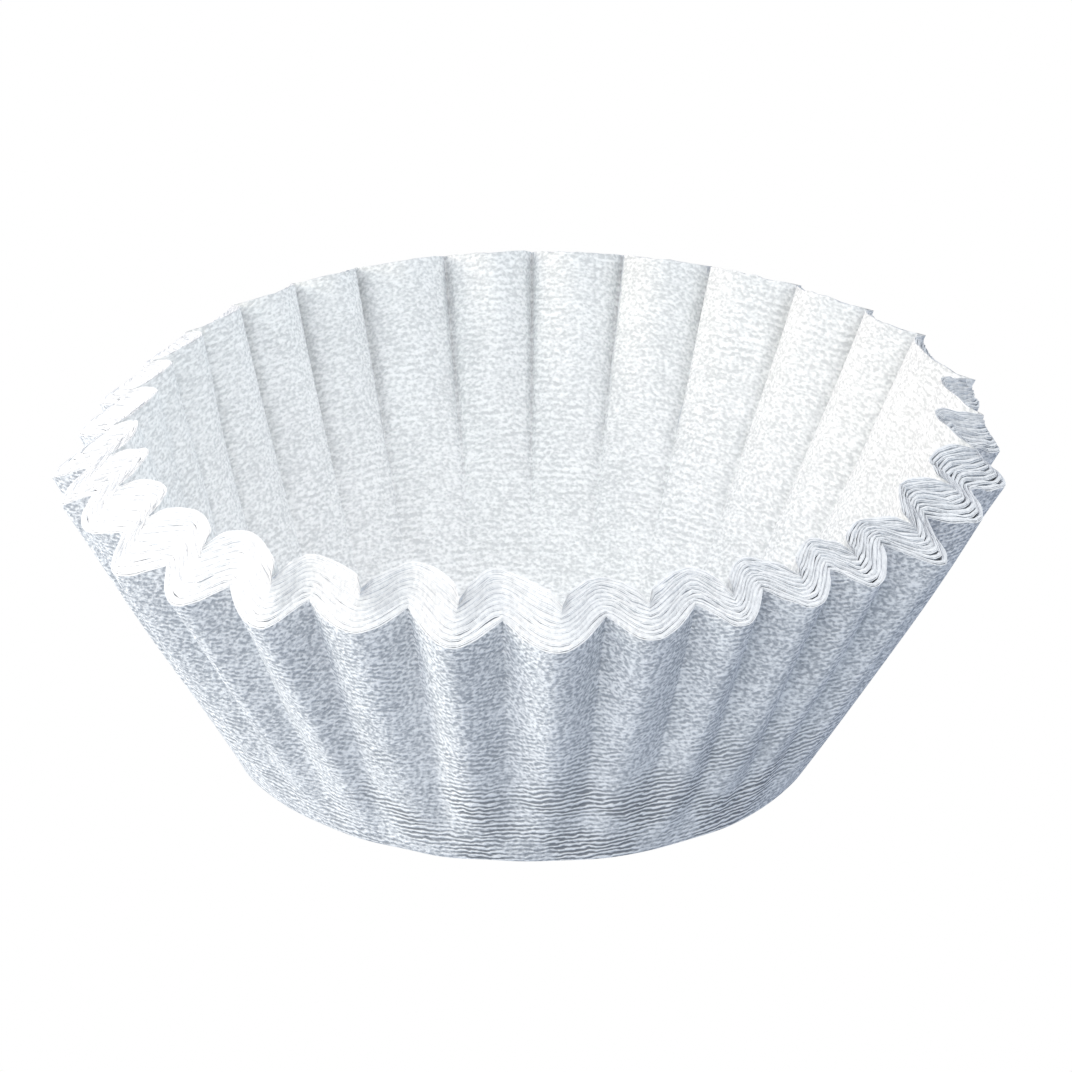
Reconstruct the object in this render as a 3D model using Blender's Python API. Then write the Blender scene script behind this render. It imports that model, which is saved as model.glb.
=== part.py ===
"""A nest of basket coffee filters: round sheets of crepe paper pressed together into
one flat-bottomed cup with a fluted, flared wall. The cup stands on its flat base.

Metres, +Z up. The origin is the centre of the flat base, on the surface that it
stands on. Azimuth is measured from -Y towards +X.

The sheets lie against each other like the pages of a book, so the nest is one closed
solid: outer skin, rim band of cut edges, inner skin and inner floor. The rim band
follows both skins, because every sheet carries the same flutes.
"""

import math

import bmesh
import bpy

MM = 0.001

# Sheets
SHEETS = 45  # filters in the nest
SHEET_PITCH_AT_BASE = 0.15 * MM  # pressed flat, paper on paper
FLOOR_THICKNESS = SHEETS * SHEET_PITCH_AT_BASE

# Mean lines of the two skins, without the flutes: (radius, height)
OUTER_CORNER_RADIUS = 55.6 * MM  # where the base line and the wall line cross
OUTER_RIM = (88.4 * MM, 62.9 * MM)
INNER_CORNER_RADIUS = 54.0 * MM
INNER_RIM = (80.6 * MM, 70.3 * MM)
OUTER_FILLET = 3.0 * MM  # bend between base and wall
INNER_FILLET = 4.5 * MM

# Flutes
FLUTES = 31
FLUTE_REACH_OUTER = 3.5 * MM  # either side of the mean line, at the rim
FLUTE_REACH_INNER = 2.8 * MM
CREST_ROUNDING = 0.62  # below 1: broad crests and narrow folds; 1: plain cosine
FLUTE_START = 4.99  # phase at azimuth 0, in radians
# The flutes are gathered by the press and so are a little uneven round the cup:
# drift of the phase in radians, as (times round, cosine share, sine share)
FLUTE_DRIFT = ((1, 0.17, 0.95), (2, -0.61, -0.37), (3, -0.41, -0.08))

# The soft nest is a little out of round and out of level, in the same form
BASE_SWAY = ((2, -0.5 * MM, 1.6 * MM),)
RIM_SWAY = ((1, 0.1 * MM, 2.6 * MM), (2, 0.1 * MM, -0.4 * MM), (3, -0.8 * MM, -0.4 * MM))
RIM_LIFT = ((1, -0.5 * MM, -0.1 * MM), (2, 1.1 * MM, 0.2 * MM))
INNER_SWAY = ((1, 0.7 * MM, 3.0 * MM), (2, 1.0 * MM, -1.6 * MM), (3, 0.8 * MM, -0.3 * MM))
INNER_LIFT = ((1, 0.2 * MM, -1.7 * MM), (2, -0.7 * MM, -0.2 * MM), (3, 0.3 * MM, -0.5 * MM))

# Facets
STEPS_PER_FLUTE = 10
WALL_STATIONS = (0.0, 0.5, 1.0)  # shares of the wall from the bend to the rim

PAPER_COLOUR = (0.86, 0.88, 0.90, 1.0)
PAPER_ROUGHNESS = 0.92


def harmonics(terms, azimuth):
    """Sum of a few waves round the cup."""
    return sum(
        c * math.cos(k * azimuth) + s * math.sin(k * azimuth) for k, c, s in terms
    )


def azimuth_of(turns):
    """Azimuth where the flute wave has made this many turns, by fixed-point steps."""
    phase = 2.0 * math.pi * turns
    azimuth = phase / FLUTES
    for _ in range(60):
        azimuth = (phase - FLUTE_START - harmonics(FLUTE_DRIFT, azimuth)) / FLUTES
    return azimuth


def flute_wave(turns, depth):
    """Wave of the wall between -1 (inward fold) and 1 (outward crest). The outer skin
    has broad outward crests and narrow inward folds, and the inner skin the reverse."""
    outward = (1.0 + math.cos(2.0 * math.pi * turns)) / 2.0
    outer = 2.0 * outward**CREST_ROUNDING - 1.0
    inner = 1.0 - 2.0 * (1.0 - outward) ** CREST_ROUNDING
    return outer + (inner - outer) * depth


def blend(a, b, share):
    return a + (b - a) * share


def wall_section(depth):
    """The section of one layer at this share of the nest's thickness: stations from
    the edge of the flat floor, round the bend and up the wall, each (radius, height,
    share of the wall), and the wall's outward normal."""
    corner = blend(OUTER_CORNER_RADIUS, INNER_CORNER_RADIUS, depth)
    floor = FLOOR_THICKNESS * depth
    rim_radius = blend(OUTER_RIM[0], INNER_RIM[0], depth)
    rim_height = blend(OUTER_RIM[1], INNER_RIM[1], depth)
    fillet = blend(OUTER_FILLET, INNER_FILLET, depth)
    slope = math.atan2(rim_height - floor, rim_radius - corner)
    tangent = fillet * math.tan(slope / 2.0)
    stations = []
    for turn in (0.0, 0.5, 1.0):
        angle = slope * turn
        stations.append(
            (
                corner - tangent + fillet * math.sin(angle),
                floor + fillet * (1.0 - math.cos(angle)),
                0.0,
            )
        )
    start_radius, start_height, _ = stations.pop()
    for share in WALL_STATIONS:
        stations.append(
            (
                blend(start_radius, rim_radius, share),
                blend(start_height, rim_height, share),
                share,
            )
        )
    return stations, (math.sin(slope), -math.cos(slope))


def ring(depth, station, normal):
    """Points of one layer at one station, all the way round."""
    radius, height, share = station
    reach = blend(FLUTE_REACH_OUTER, FLUTE_REACH_INNER, depth) * share
    points = []
    for step in range(FLUTES * STEPS_PER_FLUTE):
        turns = step / STEPS_PER_FLUTE
        azimuth = azimuth_of(turns)
        sway = harmonics(RIM_SWAY, azimuth) + depth * harmonics(INNER_SWAY, azimuth)
        base = (1.0 - share) * harmonics(BASE_SWAY, azimuth)
        lift = harmonics(RIM_LIFT, azimuth) + depth * harmonics(INNER_LIFT, azimuth)
        wave = reach * flute_wave(turns, depth)
        r = radius + base + share * sway + wave * normal[0]
        z = height + share * lift + wave * normal[1]
        points.append((r * math.sin(azimuth), -r * math.cos(azimuth), z))
    return points


def nest_rings():
    """Rings from the edge of the base up the outer skin, over the rim band and down
    the inner skin to the edge of the inner floor."""
    outer, outer_normal = wall_section(0.0)
    inner, inner_normal = wall_section(1.0)
    middle, middle_normal = wall_section(0.5)
    rings = [ring(0.0, station, outer_normal) for station in outer]
    rings.append(ring(0.5, middle[-1], middle_normal))
    rings += [ring(1.0, station, inner_normal) for station in reversed(inner)]
    return rings


def build_mesh(name):
    """Closed skin through the rings: a disc below, a strip between each two rings and
    a disc for the inner floor."""
    bm = bmesh.new()
    loops = [[bm.verts.new(point) for point in points] for points in nest_rings()]
    bm.faces.new(reversed(loops[0]))
    for lower, upper in zip(loops, loops[1:]):
        for i in range(len(lower)):
            j = (i + 1) % len(lower)
            bm.faces.new((lower[i], lower[j], upper[j], upper[i]))
    bm.faces.new(loops[-1])
    bmesh.ops.recalc_face_normals(bm, faces=bm.faces)
    mesh = bpy.data.meshes.new(name)
    bm.to_mesh(mesh)
    bm.free()
    return mesh


def paper_material():
    material = bpy.data.materials.new("white_crepe_paper")
    material.use_nodes = True
    shader = material.node_tree.nodes["Principled BSDF"]
    shader.inputs["Base Color"].default_value = PAPER_COLOUR
    shader.inputs["Roughness"].default_value = PAPER_ROUGHNESS
    shader.inputs["Metallic"].default_value = 0.0
    material.diffuse_color = PAPER_COLOUR
    return material


for old in list(bpy.data.objects):
    bpy.data.objects.remove(old, do_unlink=True)

nest_mesh = build_mesh("filter_stack")
nest_mesh.materials.append(paper_material())
nest_mesh.shade_smooth()
nest_mesh.set_sharp_from_angle(angle=math.radians(40.0))
nest = bpy.data.objects.new("filter_stack", nest_mesh)
bpy.context.scene.collection.objects.link(nest)
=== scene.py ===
"""A nest of fluted basket coffee filters, each sheet modelled as a thin closed cup of
crepe paper, on a plain pale floor under soft light."""

import math

import bpy
import numpy as np
from mathutils import Matrix, Vector


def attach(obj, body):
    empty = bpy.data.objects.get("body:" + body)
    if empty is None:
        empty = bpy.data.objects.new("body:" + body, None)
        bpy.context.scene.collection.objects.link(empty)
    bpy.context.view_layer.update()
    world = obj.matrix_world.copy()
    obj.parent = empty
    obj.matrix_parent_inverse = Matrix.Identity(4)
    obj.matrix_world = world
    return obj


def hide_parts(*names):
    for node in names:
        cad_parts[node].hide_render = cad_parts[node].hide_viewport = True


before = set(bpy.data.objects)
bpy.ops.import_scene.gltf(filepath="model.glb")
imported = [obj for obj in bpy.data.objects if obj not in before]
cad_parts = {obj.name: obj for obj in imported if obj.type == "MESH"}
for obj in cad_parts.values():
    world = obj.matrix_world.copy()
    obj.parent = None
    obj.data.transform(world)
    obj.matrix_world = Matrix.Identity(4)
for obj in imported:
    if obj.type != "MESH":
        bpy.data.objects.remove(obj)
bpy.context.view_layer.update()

MM = 0.001
TAU = 2.0 * math.pi

# ---------------------------------------------------------------- camera
# Reference view: a long lens, a little above the rim, straight at the front.
ELEVATION = 24.55  # degrees
ROLL = -0.99
DISTANCE = 1.416
LENS_PX = 7256.2  # focal length in pixels of the 1072-pixel frame
AIM_PX = (521.7, 595.1)  # where the point at AIM shows
AIM = Vector((0.0010, -0.0001, 0.030975))


def make_camera():
    data = bpy.data.cameras.new("view")
    data.sensor_width = 36.0
    data.lens = LENS_PX / 1072.0 * 36.0
    data.clip_start = 0.05
    data.clip_end = 50.0
    cam = bpy.data.objects.new("view", data)
    bpy.context.scene.collection.objects.link(cam)
    e = math.radians(ELEVATION)
    place = AIM + Vector((0.0, -math.cos(e), math.sin(e))) * DISTANCE
    ahead = (AIM - place).normalized()
    right = ahead.cross(Vector((0.0, 0.0, 1.0))).normalized()
    up = right.cross(ahead).normalized()
    # undo the roll of the frame, then turn so that AIM lands on AIM_PX
    dx, dy = 536.0 - AIM_PX[0], 536.0 - AIM_PX[1]
    r = -math.radians(ROLL)
    ox = math.cos(r) * dx + math.sin(r) * dy
    oy = -math.sin(r) * dx + math.cos(r) * dy
    middle = (ahead + right * (ox / LENS_PX) - up * (oy / LENS_PX)).normalized()
    right = middle.cross(up).normalized()
    up = right.cross(middle).normalized()
    turned_right = right * math.cos(r) - up * math.sin(r)
    turned_up = right * math.sin(r) + up * math.cos(r)
    back = -middle
    cam.matrix_world = Matrix(
        (
            (turned_right.x, turned_up.x, back.x, place.x),
            (turned_right.y, turned_up.y, back.y, place.y),
            (turned_right.z, turned_up.z, back.z, place.z),
            (0.0, 0.0, 0.0, 1.0),
        )
    )
    bpy.context.scene.camera = cam


make_camera()

# ---------------------------------------------------------------- shape of the nest
SHEETS = 45
SHEET_PITCH_AT_BASE = 0.15 * MM
FLOOR_THICKNESS = SHEETS * SHEET_PITCH_AT_BASE
OUTER_CORNER_RADIUS = 55.6 * MM
OUTER_RIM = (88.4 * MM, 62.9 * MM)
INNER_CORNER_RADIUS = 54.0 * MM
INNER_RIM = (80.6 * MM, 70.3 * MM)
OUTER_FILLET = 3.0 * MM
INNER_FILLET = 4.5 * MM
FLUTES = 31
CREST_ROUNDING = 0.55
PINCH = 2.7 * MM  # the innermost folds are pinched into a narrow slot
PINCH_WIDTH = 0.05  # of a flute

# Low waves of the soft nest, in millimetres: (times round, cosine share, sine share)
BASE_SWAY = ((2, -0.5, 1.7),)
RIM_SWAY = ((1, 0.1, 2.6), (2, 0.1, -0.4), (3, -0.8, -0.4), (4, -0.3, 0.4))
RIM_LIFT = ((1, -0.5, -0.1), (2, 1.1, 0.2), (4, -0.2, 0.1))
INNER_SWAY = ((1, 0.7, 3.1), (2, 1.0, -1.7), (3, 0.8, -0.3), (4, 0.0, 0.2))
INNER_LIFT = ((1, 0.2, -1.7), (2, -0.7, -0.2), (3, 0.3, -0.5), (4, 0.4, -0.5))
WALL_BOW = ((0, 0.36, 0.0), (1, 0.0, 0.16))

# Each flute: azimuth of its outward crest in degrees from the front, on the
# outer and on the inner skin, the same for the inward fold after it, then how far the
# crest and the fold stand off the mean line, in millimetres along the wall's normal,
# on the outer and on the inner skin.
FLUTE_TABLE = (
    (-88.4, -88.7, -84.6, -85.3, 4.8, -3.5, 2.2, -1.2),
    (-78.2, -78.7, -75.2, -73.8, 3.3, -3.1, 2.2, -3.0),
    (-68.4, -68.3, -61.7, -60.8, 1.7, -3.5, 2.2, -2.1),
    (-55.8, -56.9, -49.7, -50.1, 4.0, -3.0, 1.6, -2.9),
    (-43.6, -44.1, -38.7, -39.4, 4.5, -2.8, 1.0, -2.2),
    (-31.5, -31.4, -27.2, -27.8, 4.2, -3.9, 3.6, -1.2),
    (-20.2, -19.5, -14.2, -14.1, 1.8, -5.3, 2.0, -3.6),
    (-8.2, -7.1, -2.0, -2.3, 3.8, -3.2, 2.6, -3.5),
    (4.6, 5.3, 10.8, 10.7, 4.7, -2.8, 2.4, -1.7),
    (15.7, 16.0, 22.2, 22.7, 3.9, -3.4, 2.2, -3.0),
    (26.7, 26.7, 31.5, 30.9, 3.1, -3.9, 2.2, -2.6),
    (36.4, 36.5, 41.7, 42.0, 3.0, -3.6, 2.2, -2.1),
    (45.5, 45.8, 51.8, 51.3, 3.4, -4.5, 2.2, -1.2),
    (56.7, 57.0, 62.2, 63.6, 5.0, -4.5, 2.2, -2.9),
    (69.7, 69.3, 74.6, 73.0, 3.6, -1.3, 2.2, -1.6),
    (80.9, 80.6, 85.9, 86.5, 4.7, -4.8, 2.2, -5.0),
    (90.3, 91.2, 98.2, 98.8, 2.8, -3.5, 2.2, -2.6),
    (103.9, 102.4, 110.2, 110.1, 3.3, -3.5, 3.6, -2.4),
    (117.0, 117.3, 122.7, 122.7, 3.5, -3.5, 2.6, -2.6),
    (128.1, 128.0, 134.1, 134.1, 3.3, -3.7, 2.3, -2.9),
    (140.3, 140.1, 146.6, 146.6, 3.8, -3.2, 2.7, -2.4),
    (152.8, 152.8, 159.0, 159.0, 3.4, -3.6, 2.4, -2.8),
    (165.2, 165.2, 171.4, 171.4, 3.6, -3.4, 2.6, -2.5),
    (177.3, 177.4, 183.3, 183.3, 3.3, -3.8, 2.5, -2.9),
    (189.5, 189.5, 196.0, 196.1, 3.7, -3.3, 2.5, -2.5),
    (202.4, 202.6, 208.0, 208.0, 3.5, -3.6, 2.6, -2.8),
    (213.6, 213.5, 219.4, 219.4, 3.2, -3.5, 2.4, -2.4),
    (225.1, 225.1, 231.0, 231.0, 3.6, -3.3, 2.5, -2.7),
    (236.8, 237.1, 242.7, 242.7, 3.4, -3.6, 2.5, -2.5),
    (249.1, 248.8, 254.1, 254.1, 3.6, -3.2, 2.4, -2.6),
    (259.5, 259.5, 265.1, 265.1, 3.3, -3.4, 2.4, -2.4),
)


def around(values, at, step=None):
    """Smooth closed curve through evenly spaced values, read at a place counted in
    values. With step, the values grow by that much each time round."""
    values = np.asarray(values, float)
    n = len(values)
    grow = 0.0 if step is None else step
    base = np.floor(at).astype(int)
    f = at - base

    def value(i):
        return values[i % n] + grow * np.floor_divide(i, n)

    a, b, c, d = value(base - 1), value(base), value(base + 1), value(base + 2)
    return b + 0.5 * f * (
        c - a + f * (2 * a - 5 * b + 4 * c - d + f * (3 * (b - c) + d - a))
    )


_outer_halves = [v for row in FLUTE_TABLE for v in (row[0], row[2])]
_inner_halves = [v for row in FLUTE_TABLE for v in (row[1], row[3])]
_outer_crest, _outer_fold, _inner_crest, _inner_fold = [
    [row[column] * MM for row in FLUTE_TABLE] for column in (4, 5, 6, 7)
]


def blend(a, b, share):
    return a + (b - a) * share


def azimuth_at(turns, depth, share):
    """Azimuth in radians. The flutes lean a little with depth; share is not used."""
    outer = around(_outer_halves, 2.0 * turns, step=360.0)
    inner = around(_inner_halves, 2.0 * turns, step=360.0)
    return np.radians(blend(outer, inner, depth))


def wave_at(turns, depth, share=1.0):
    """Offset along the wall's normal at the rim, for a layer at this depth: broad
    outward crests outside, broad inward crests inside, and soft waves between."""
    lift = (1.0 + np.cos(TAU * turns)) / 2.0
    rounding = CREST_ROUNDING + (1.0 - CREST_ROUNDING) * 4.0 * depth * (1.0 - depth)
    rounding = rounding + (1.0 - rounding) * 0.6 * (1.0 - share) * (1.0 - depth)
    out_crest = around(_outer_crest, turns)
    out_fold = around(_outer_fold, turns - 0.5)
    in_crest = around(_inner_crest, turns)
    in_fold = around(_inner_fold, turns - 0.5)
    outer = out_fold + (out_crest - out_fold) * lift**rounding
    inner = in_fold + (in_crest - in_fold) * (1.0 - (1.0 - lift) ** rounding)
    pinch = np.exp(-(((turns + 0.5) % 1.0 - 0.5) / PINCH_WIDTH) ** 2)
    return outer + (inner - outer) * depth + PINCH * pinch * depth**3


def harmonics(terms, azimuth):
    total = np.zeros_like(azimuth)
    for k, c, s in terms:
        total = total + c * np.cos(k * azimuth) + s * np.sin(k * azimuth)
    return total * MM


_rng = np.random.default_rng(20)
_DENTS = [
    (
        int(_rng.integers(3, 26)),
        _rng.uniform(-150.0, 150.0),
        _rng.uniform(0.0, TAU),
        _rng.uniform(0.5, 1.0),
        _rng.uniform(-1.5, 1.5),
    )
    for _ in range(26)
]


def dents(azimuth, along, depth):
    """Shallow dents and swells that run through the whole nest, from -1 to 1."""
    total = 0.0
    for k, m, p, a, d in _DENTS:
        total = total + a * np.sin(k * azimuth + m * along + p + d * depth)
    return total / math.sqrt(len(_DENTS)) / 0.6


def layer(turns, depth, share, extend=0.0):
    """Points of the nest: the layer at this depth (0 outside, 1 inside; an array as
    long as turns), at this share of the wall (below 0: round the bend and over the
    floor). Returns the points and the length along the sheet from the centre."""
    azimuth = azimuth_at(turns, depth, share)
    corner = blend(OUTER_CORNER_RADIUS, INNER_CORNER_RADIUS, depth)
    floor = FLOOR_THICKNESS * depth
    rim_r = blend(OUTER_RIM[0], INNER_RIM[0], depth)
    rim_z = blend(OUTER_RIM[1], INNER_RIM[1], depth)
    fillet = blend(OUTER_FILLET, INNER_FILLET, depth)
    slope = np.arctan2(rim_z - floor, rim_r - corner)
    tangent = fillet * np.tan(slope / 2.0)
    flat = corner - tangent
    bend = fillet * slope
    base_sway = harmonics(BASE_SWAY, azimuth)
    if share <= -1.0:  # floor: -2 is the centre, -1 its edge
        radius = (flat + base_sway) * (share + 2.0)
        height = floor + 0.0 * radius
        along = flat * (share + 2.0)
        reach = 0.0 * radius
        normal = (0.0, -1.0)
        rumple = 0.10 * MM * (share + 2.0) ** 2
    elif share < 0.0:  # bend: -1 to 0
        angle = slope * (share + 1.0)
        radius = flat + base_sway + fillet * np.sin(angle)
        height = floor + fillet * (1.0 - np.cos(angle))
        along = flat + bend * (share + 1.0)
        reach = 0.0 * radius
        normal = (np.sin(angle), -np.cos(angle))
        rumple = 0.10 * MM
    else:
        start_r = flat + fillet * np.sin(slope)
        start_z = floor + fillet * (1.0 - np.cos(slope))
        length = np.hypot(rim_r - start_r, rim_z - start_z)
        s = share + extend / length
        radius = start_r + (rim_r - start_r) * s + (1.0 - share) * base_sway
        height = start_z + (rim_z - start_z) * s
        along = flat + bend + length * s
        normal = (np.sin(slope), -np.cos(slope))
        sway = harmonics(RIM_SWAY, azimuth) + depth * harmonics(INNER_SWAY, azimuth)
        lift = harmonics(RIM_LIFT, azimuth) + depth * harmonics(INNER_LIFT, azimuth)
        bow = harmonics(WALL_BOW, azimuth) * 4.0 * share * (1.0 - share)
        reach = wave_at(turns, depth, share) * s + bow
        radius = radius + share * sway
        height = height + share * lift
        rumple = (0.10 + 0.22 * share) * MM
    offset = reach + rumple * dents(azimuth, along, depth)
    if share <= -1.0:
        offset = np.where(depth < 0.5 / SHEETS, 0.0, offset)
    radius = radius + offset * normal[0]
    height = height + offset * normal[1]
    points = np.stack([radius * np.sin(azimuth), -radius * np.cos(azimuth), height], -1)
    return points, azimuth, along


# ---------------------------------------------------------------- the sheets
_noise = np.random.default_rng(7)


def ripple(count, low, high, size):
    """Random smooth closed curves round the cup, one per row, read at turns."""
    k = _noise.integers(low, high, size=(count, size))
    p = _noise.uniform(0.0, TAU, size=(count, size))
    a = _noise.uniform(0.4, 1.0, size=(count, size))
    a = a / np.sqrt((a**2).sum(axis=1, keepdims=True) / 2.0)

    def read(turns):
        angle = TAU * turns / FLUTES
        return (a[:, :, None] * np.sin(k[:, :, None] * angle + p[:, :, None])).sum(1)

    return read


# The sheets lie in bundles of a few, with thin gaps inside a bundle and open ones
# between bundles. Both kinds open and close round the rim, and the middle of a bundle
# stands a little prouder than its sides.
_bundle_end = np.zeros(SHEETS - 1, bool)
_bundle_place = np.zeros(SHEETS)
_bundle_of = np.zeros(SHEETS, int)
_start = 0
while _start < SHEETS:
    _size = min(int(_noise.integers(3, 6)), SHEETS - _start)
    if _start + _size < SHEETS:
        _bundle_end[_start + _size - 1] = True
    for _i in range(_size):
        _bundle_place[_start + _i] = math.sin(math.pi * (_i + 0.5) / _size)
        _bundle_of[_start + _i] = _start
    _start += _size
_gap_size = np.where(_bundle_end, 0.75, 0.012)
_gap_wave = ripple(SHEETS - 1, 12, 130, 9)
_edge_wave = ripple(SHEETS, 6, 110, 8)
_bundle_wave = ripple(SHEETS, 20, 160, 9)
_edge_level = _noise.uniform(-1.0, 1.0, SHEETS)


def openness(turns):
    """How far the gaps stand open: pressed shut on the left of the reference view and
    loose on its right, and tighter on the flanks of the flutes than on their crests."""
    azimuth = azimuth_at(turns, 0.5, 1.0)
    return 0.62 + 0.38 * np.sin(azimuth - 0.17), 0.45 + 0.55 * np.cos(TAU * turns) ** 2


def sheet_depths(turns):
    """Depth of both faces of each sheet at each turn: an array of sheets, 2, turns."""
    loose, crest = openness(turns)
    waves = np.clip(2.3 * loose**4.5 - 0.60 + 0.65 * _gap_wave(turns), 0.04, 3.0)
    gaps = _gap_size[:, None] * waves * crest
    paper = 0.62
    steps = np.empty((2 * SHEETS - 1, len(turns)))
    steps[0::2] = paper
    steps[1::2] = gaps
    total = steps.sum(axis=0)
    places = np.concatenate([np.zeros((1, len(turns))), np.cumsum(steps, axis=0)])
    places = places / total
    return places.reshape(SHEETS, 2, len(turns))


def edge_extend(turns):
    """How far each sheet's cut edge stands up past the rim line, in metres."""
    loose, crest = openness(turns)
    level = 0.34 * (_bundle_place[:, None] - 0.6) + 0.03 * _edge_level[:, None]
    heave = 0.16 * _bundle_wave(turns)[_bundle_of] + 0.03 * _edge_wave(turns)
    return (level + heave) * (0.2 + 0.8 * loose) * MM


def sheet_mesh(turns, depths, extend, outer_rows, inner_rows):
    """One sheet as a closed skin: its outside from the centre of the floor to the
    cut edge, and its inside from the cut edge back to the centre. A face that other
    sheets cover is drawn in a little below the rim, clear of the finer face in front."""
    n = len(turns)
    points, flow = [], []

    def add(depth, share, rows):
        if rows is PLAIN_WALL and share < 1.0:
            depth = 0.5 + (depth - 0.5) * (0.72 if n < FLUTES * 20 else 0.86)
        p, azimuth, along = layer(turns, depth, share, extend)
        points.append(p)
        flow.append(np.stack([p[:, 0], p[:, 1], along + 0.0 * azimuth], -1))

    for share in outer_rows:
        add(depths[0], share, outer_rows)
    for share in reversed(inner_rows):
        add(depths[1], share, inner_rows)
    rows = len(points)
    verts = np.concatenate(points)
    flows = np.concatenate(flow)
    floor_low = float(points[0][:, 2].mean())
    floor_high = float(points[-1][:, 2].mean())
    verts = np.concatenate([verts, [[0.0, 0.0, floor_low], [0.0, 0.0, floor_high]]])
    flows = np.concatenate([flows, [[0.0, 0.0, 0.0], [0.0, 0.0, 0.0]]])
    i = np.arange(n)
    j = (i + 1) % n
    r = np.arange(rows - 1)[:, None] * n
    quads = np.stack([r + i, r + j, r + n + j, r + n + i], -1).reshape(-1, 4)
    first = np.stack([np.full(n, rows * n), j, i], -1)
    top = (rows - 1) * n
    last = np.stack([np.full(n, rows * n + 1), top + i, top + j], -1)
    # what each row of faces is: own outside, cut edge, own inside; 1 marks the covered
    # faces, which take the darker painted shade of the gaps
    row_kind = [0 if outer_rows is FINE_WALL else 1] * (len(outer_rows) - 1) + [2]
    row_kind += [0 if inner_rows is FINE_WALL else 1] * (len(inner_rows) - 1)
    kinds = np.repeat(row_kind + [row_kind[0], row_kind[-1]], n)
    return verts, flows, quads, np.concatenate([first, last]), kinds


def make_piece(name, sheets, columns, outer_rows, inner_rows, gather=0.0):
    """Joins these sheets into one object of separate closed bodies. With gather, the
    columns stand closer together in the outward (above 0) or inward (below 0) folds."""
    turns = np.arange(FLUTES * columns) / columns
    turns = turns - gather * np.sin(TAU * turns) / TAU
    depths = sheet_depths(turns)
    extends = edge_extend(turns)
    verts, flows, quads, tris, shift = [], [], [], [], 0
    quad_kinds, tri_kinds = [], []
    for index in sheets:
        v, f, q, t, k = sheet_mesh(
            turns, depths[index], extends[index], outer_rows, inner_rows
        )
        quad_kinds.append(k[: len(q)])
        tri_kinds.append(k[len(q) :])
        verts.append(v)
        flows.append(f)
        quads.append(q + shift)
        tris.append(t + shift)
        shift += len(v)
    verts, flows = np.concatenate(verts), np.concatenate(flows)
    quads, tris = np.concatenate(quads), np.concatenate(tris)
    mesh = bpy.data.meshes.new(name)
    mesh.vertices.add(len(verts))
    mesh.vertices.foreach_set("co", verts.astype(np.float32).ravel())
    corners = np.concatenate([quads.ravel(), tris.ravel()])
    mesh.loops.add(len(corners))
    mesh.loops.foreach_set("vertex_index", corners.astype(np.int32))
    starts = np.concatenate(
        [np.arange(len(quads)) * 4, len(quads) * 4 + np.arange(len(tris)) * 3]
    )
    mesh.polygons.add(len(starts))
    mesh.polygons.foreach_set("loop_start", starts.astype(np.int32))
    kinds = np.concatenate(quad_kinds + tri_kinds)
    mesh.polygons.foreach_set("material_index", kinds.astype(np.int32))
    mesh.update(calc_edges=True)
    mesh.validate()
    attribute = mesh.attributes.new("paper_flow", "FLOAT_VECTOR", "POINT")
    attribute.data.foreach_set("vector", flows.astype(np.float32).ravel())
    mesh.shade_smooth()
    mesh.set_sharp_from_angle(angle=math.radians(50.0))
    obj = bpy.data.objects.new(name, mesh)
    bpy.context.scene.collection.objects.link(obj)
    return obj


# ---------------------------------------------------------------- paper
class Tree:
    """Short calls for a material's nodes."""

    def __init__(self, material):
        material.use_nodes = True
        self.tree = material.node_tree
        self.tree.nodes.clear()

    def node(self, kind, **settings):
        made = self.tree.nodes.new(kind)
        for key, value in settings.items():
            setattr(made, key, value)
        return made

    def feed(self, socket, value):
        if isinstance(value, bpy.types.NodeSocket):
            self.tree.links.new(value, socket)
        else:
            socket.default_value = value

    def maths(self, operation, a, b=None, c=None, clamp=False):
        made = self.node("ShaderNodeMath", operation=operation, use_clamp=clamp)
        for socket, value in zip(made.inputs, (a, b, c)):
            if value is not None:
                self.feed(socket, value)
        return made.outputs[0]

    def vector(self, operation, a, b=None):
        made = self.node("ShaderNodeVectorMath", operation=operation)
        self.feed(made.inputs[0], a)
        if b is not None:
            self.feed(made.inputs[1], b)
        return made.outputs[0]

    def noise(self, place, scale, detail=2.0, rough=0.5):
        made = self.node("ShaderNodeTexNoise", noise_dimensions="3D")
        self.feed(made.inputs["Vector"], place)
        made.inputs["Scale"].default_value = scale
        made.inputs["Detail"].default_value = detail
        made.inputs["Roughness"].default_value = rough
        return made.outputs["Fac"]

    def remap(self, value, low, high, to_low, to_high):
        made = self.node("ShaderNodeMapRange", clamp=True)
        for socket, number in zip(made.inputs, (value, low, high, to_low, to_high)):
            self.feed(socket, number)
        return made.outputs[0]

    def mix(self, share, a, b):
        made = self.node("ShaderNodeMix", data_type="RGBA", blend_type="MIX")
        self.feed(made.inputs["Factor"], share)
        self.feed(made.inputs["A"], a)
        self.feed(made.inputs["B"], b)
        return made.outputs["Result"]


WALL_LEAN = math.cos(math.atan2(OUTER_RIM[1], OUTER_RIM[0] - OUTER_CORNER_RADIUS))


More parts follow.
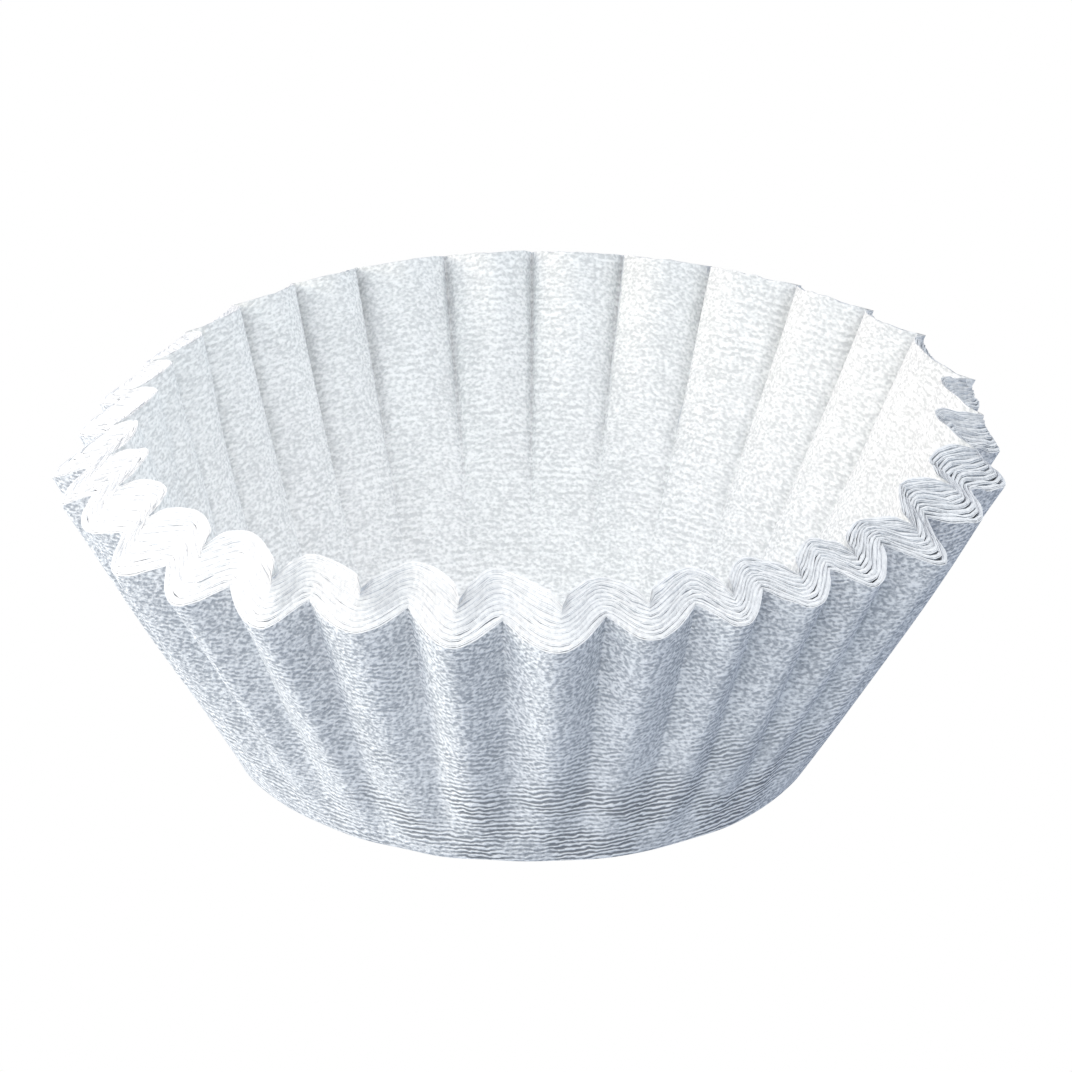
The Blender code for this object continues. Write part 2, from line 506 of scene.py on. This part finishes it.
def paper(name, cell, pitch, relief_height, light, trough_shade_and_dark_pulp, trough_shade_contrast, hem=0.0, fuzz=0.0):
    """White crepe paper: small crinkled cells, this many millimetres round the cup and
    up the wall, that line up in faint rows, with finer fibre and pulp mottle. Its
    troughs are painted darker than its ridges, as painted shade. With hem, the rows turn
    into straight deep ridges towards the base, most of all in front, with deeper painted
    shade in their troughs. With fuzz, cut edges scatter light like a soft pile that
    stands out from the rim band."""
    material = bpy.data.materials.new(name)
    t = Tree(material)
    flow = t.node("ShaderNodeAttribute", attribute_name="paper_flow").outputs["Vector"]
    parts = t.node("ShaderNodeSeparateXYZ")
    t.feed(parts.inputs[0], flow)
    along = parts.outputs["Z"]
    place = t.vector("MULTIPLY", flow, (1000.0, 1000.0, 1000.0))
    spot = t.node("ShaderNodeTexCoord").outputs["Object"] if hem else flow
    stretched = t.vector(
        "MULTIPLY", spot, (1000.0 / cell[0], 1000.0 / cell[0], 1000.0 / cell[1])
    )
    cells = t.noise(stretched, 1.0, 1.0, 0.4)
    crepe = t.remap(cells, 0.33, 0.67, 0.0, 1.0)
    level = along
    if hem:  # the rows run level here, and not in and out with the flutes
        radius = t.node("ShaderNodeVectorMath", operation="LENGTH")
        t.feed(radius.inputs[0], t.vector("MULTIPLY", flow, (1.0, 1.0, 0.0)))
        stand = t.maths("MULTIPLY_ADD", along, -WALL_LEAN, radius.outputs["Value"])
        level = t.maths("MULTIPLY_ADD", stand, -1.1, along)
    bend = t.noise(place, 0.34, 1.0)
    rows = t.maths("DIVIDE", level, pitch)
    rows = t.maths("MULTIPLY_ADD", bend, 1.5, rows)
    wave = t.maths("SINE", t.maths("MULTIPLY", rows, TAU))
    patch = t.noise(place, 0.075, 0.0)
    on_wall = t.remap(along, 0.0525, 0.0545, 0.0, 1.0)
    strength = t.maths("MULTIPLY", t.remap(patch, 0.36, 0.64, 0.02, 0.26), on_wall)
    if hem:
        near_base = t.remap(along, 0.060, 0.094, 1.0, 0.0)
        ahead = t.node("ShaderNodeVectorMath", operation="DOT_PRODUCT")
        t.feed(ahead.inputs[0], flow)
        t.feed(ahead.inputs[1], (math.sin(0.19), -math.cos(0.19), 0.0))
        front = t.remap(ahead.outputs["Value"], 0.0455, 0.0530, 0.22, 1.0)
        uneven = t.remap(patch, 0.40, 0.58, 0.45, 1.5)
        uneven = t.maths("MULTIPLY", uneven, front)
        near_base = t.maths("MULTIPLY", near_base, uneven, clamp=True)
        upright = t.node("ShaderNodeCombineXYZ")
        t.feed(upright.inputs[0], parts.outputs["X"])
        t.feed(upright.inputs[1], parts.outputs["Y"])
        t.feed(upright.inputs[2], level)
        long_cells = t.vector(
            "MULTIPLY", upright.outputs[0], (1000.0 / 0.95, 1000.0 / 0.95, 1000.0 / 0.55)
        )
        ridges = t.remap(t.noise(long_cells, 1.0, 0.0, 0.5), 0.30, 0.70, 0.12, 0.88)
        ridges = t.maths("SUBTRACT", ridges, crepe)
        crepe = t.maths("MULTIPLY_ADD", ridges, near_base, crepe)
        strength = t.maths("MULTIPLY_ADD", near_base, hem, strength)
    crepe = t.maths("MULTIPLY_ADD", wave, strength, crepe)
    fibre = t.noise(place, 2.6, 0.0)
    relief = t.maths("MULTIPLY_ADD", t.maths("SUBTRACT", fibre, 0.5), 0.35, crepe)
    bump = t.node("ShaderNodeBump")
    bump.inputs["Strength"].default_value = 1.0
    bump.inputs["Distance"].default_value = relief_height
    t.feed(bump.inputs["Height"], relief)
    if fuzz:
        around_axis = t.vector("MULTIPLY", flow, (1.0, 1.0, 0.0))
        around_axis = t.vector("NORMALIZE", around_axis)
        pile = t.vector("MULTIPLY", around_axis, (0.55, 0.55, 0.0))
        pile = t.vector("ADD", pile, (0.0, 0.0, 0.835))
        turn = t.node(
            "ShaderNodeVectorTransform",
            vector_type="NORMAL",
            convert_from="OBJECT",
            convert_to="WORLD",
        )
        t.feed(turn.inputs[0], pile)
        true_normal = t.node("ShaderNodeNewGeometry").outputs["Normal"]
        both = t.node("ShaderNodeMix", data_type="VECTOR")
        t.feed(both.inputs[0], fuzz)
        t.feed(both.inputs[4], true_normal)
        t.feed(both.inputs[5], turn.outputs[0])
        t.feed(bump.inputs["Normal"], t.vector("NORMALIZE", both.outputs[1]))
    # painted shade: the crepe troughs are painted greyer than the ridges; the pulp is
    # unevenly toned
    pulp = t.noise(place, 0.13, 1.0, 0.6)
    shade = t.maths("MULTIPLY_ADD", t.maths("SUBTRACT", relief, 0.5), trough_shade_contrast, 0.5)
    shade = t.maths("MULTIPLY_ADD", t.maths("SUBTRACT", pulp, 0.5), 0.5, shade)
    low = (*trough_shade_and_dark_pulp, 1.0)
    # painted shade: towards the base the hem's troughs are painted darker still
    if hem:
        low = t.mix(near_base, low, tuple(0.55 * c for c in trough_shade_and_dark_pulp) + (1.0,))
    colour = t.mix(t.maths("ADD", shade, 0.0, clamp=True), low, (*light, 1.0))
    shader = t.node("ShaderNodeBsdfPrincipled")
    t.feed(shader.inputs["Base Color"], colour)
    shader.inputs["Roughness"].default_value = 0.95
    shader.inputs["Specular IOR Level"].default_value = 0.2
    t.feed(shader.inputs["Normal"], bump.outputs[0])
    out = t.node("ShaderNodeOutputMaterial")
    t.feed(out.inputs["Surface"], shader.outputs[0])
    return material


# ---------------------------------------------------------------- build
def rows_between(low, high, count, power=1.0):
    return [low + (high - low) * (k / (count - 1)) ** power for k in range(count)]


FLOOR_ROWS = [-1.75, -1.4, -1.15, -1.0]
FINE_WALL = FLOOR_ROWS + [-0.8, -0.6, -0.4, -0.2] + rows_between(0.0, 1.0, 44)
PLAIN_WALL = [-1.5, -1.0, -0.5, 0.0, 0.35, 0.7, 0.94, 1.0]

# The second colour of each paper is its painted trough shade, bluish grey outside,
# together with its darker pulp.
inner_paper = paper(
    "crepe_paper_inside",
    (0.80, 0.56),
    0.00145,
    0.00008,
    (0.95, 0.965, 0.97),
    (0.66, 0.68, 0.69),
    1.0,
)
outer_paper = paper(
    "crepe_paper_outside",
    (0.80, 0.64),
    0.00130,
    0.00016,
    (0.94, 0.955, 0.97),
    (0.44, 0.465, 0.50),
    1.05,
    hem=0.62,
)
edge_paper = paper(
    "crepe_paper_edges",
    (0.80, 0.60),
    0.00145,
    0.00006,
    (0.925, 0.935, 0.94),
    (0.78, 0.795, 0.81),
    0.8,
    fuzz=0.65,
)

# Faces that other sheets cover show only down the gaps between the sheets: their darker
# colour is painted shade, the shadow in those gaps.
painted_gap_shade_paper = paper(
    "crepe_paper_painted_gap_shade",
    (0.80, 0.60),
    0.00145,
    0.00006,
    (0.70, 0.73, 0.77),
    (0.50, 0.525, 0.56),
    0.8,
)

pieces = []
outermost = make_piece("filter_outermost", [0], 26, FINE_WALL, PLAIN_WALL, -0.5)
for material in (outer_paper, painted_gap_shade_paper, edge_paper):
    outermost.data.materials.append(material)
pieces.append(outermost)
innermost = make_piece("filter_innermost", [SHEETS - 1], 26, PLAIN_WALL, FINE_WALL, 0.55)
for material in (inner_paper, painted_gap_shade_paper, edge_paper):
    innermost.data.materials.append(material)
pieces.append(innermost)
between = list(range(1, SHEETS - 1))
GROUPS = 6
for g in range(GROUPS):
    members = between[g * len(between) // GROUPS : (g + 1) * len(between) // GROUPS]
    group = make_piece(f"filters_between_{g + 1}", members, 12, PLAIN_WALL, PLAIN_WALL)
    for material in (painted_gap_shade_paper, painted_gap_shade_paper, edge_paper):
        group.data.materials.append(material)
    pieces.append(group)

for piece in pieces:
    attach(piece, "root")
    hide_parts("filter_stack")

# ---------------------------------------------------------------- floor and light
bpy.ops.mesh.primitive_circle_add(vertices=96, radius=7.0, fill_type="NGON")
floor = bpy.context.active_object
floor.name = "floor"
floor.location.z = -0.0004
floor_material = bpy.data.materials.new("pale_floor")
tree = Tree(floor_material)
floor_shader = tree.node("ShaderNodeEmission")
floor_shader.inputs["Color"].default_value = (1.0, 1.0, 1.0, 1.0)
floor_shader.inputs["Strength"].default_value = 1.0
floor_out = tree.node("ShaderNodeOutputMaterial")
tree.feed(floor_out.inputs["Surface"], floor_shader.outputs[0])
floor_material.cycles.emission_sampling = "NONE"
floor.data.materials.append(floor_material)
floor.visible_diffuse = False
floor.visible_glossy = False
floor.visible_shadow = False


def softbox(name, place, size, power, colour):
    data = bpy.data.lights.new(name, "AREA")
    data.shape = "DISK"
    data.size = size
    data.energy = power
    data.color = colour
    obj = bpy.data.objects.new(name, data)
    obj.location = place
    aim = Vector((0.0, 0.0, 0.03)) - Vector(place)
    obj.rotation_euler = aim.to_track_quat("-Z", "Y").to_euler()
    bpy.context.scene.collection.objects.link(obj)
    return obj


# Soft boxes: one in front and two on the left.
softbox("front_box", (0.0, -1.8, 1.4), 0.9, 9.0, (1.0, 0.85, 0.73))
softbox("left_front_box", (-1.5, -0.9, 1.6), 0.9, 6.75, (0.81, 1.0, 0.91))
softbox("left_low_box", (-2.2, -0.5, 0.7), 0.9, 12.4, (1.0, 0.91, 0.70))

# The room round them: an even light from above and a bounced one from below, and then
# for each side its direction and what it adds from above and from below.
EVEN = ((0.03, 0.22, 0.32), (0.06, 0.09, 0.22))
ROOM = (
    ((-1.0, 0.0, 0.0), (0.85, 0.56, 0.50), (1.60, 1.66, 1.60)),
    ((1.0, 0.0, 0.0), (0.82, 0.73, 0.68), (0.0, 0.0, 0.0)),
    ((0.0, -1.0, 0.0), (0.0, 0.0, 0.0), (0.53, 0.55, 0.49)),
    ((0.0, 1.0, 0.0), (0.0, 0.0, 0.0), (0.55, 0.58, 0.55)),
    ((0.0, 0.0, 1.0), (0.85, 0.71, 0.69), (0.0, 0.0, 0.0)),
)
world = bpy.data.worlds.new("studio")
bpy.context.scene.world = world
w = Tree(world)
facing = w.node("ShaderNodeTexCoord").outputs["Generated"]


def side_share(direction, gain=1.0, offset=0.0):
    dot = w.node("ShaderNodeVectorMath", operation="DOT_PRODUCT")
    w.feed(dot.inputs[0], facing)
    w.feed(dot.inputs[1], direction)
    return w.maths("MULTIPLY_ADD", dot.outputs["Value"], gain, offset, clamp=True)


above = side_share((0.0, 0.0, 1.0), 8.0, 0.5)
sky = w.mix(above, (*EVEN[1], 1.0), (*EVEN[0], 1.0))
for direction, high, low in ROOM:
    wall = w.mix(above, (*low, 1.0), (*high, 1.0))
    lit = w.vector("SCALE", wall)
    w.feed(lit.node.inputs["Scale"], side_share(direction))
    sky = w.vector("ADD", sky, lit)
w_back = w.node("ShaderNodeBackground")
w.feed(w_back.inputs["Color"], sky)
w_out = w.node("ShaderNodeOutputWorld")
w.feed(w_out.inputs["Surface"], w_back.outputs[0])

bpy.context.scene.view_settings.view_transform = "Standard"
bpy.context.scene.view_settings.look = "None"

# ---------------------------------------------------------------- size note and end
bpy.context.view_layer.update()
total = 0
for piece in pieces:
    count = sum(len(p.vertices) - 2 for p in piece.data.polygons)
    total += count
    print(piece.name, count)
print("triangles", total)
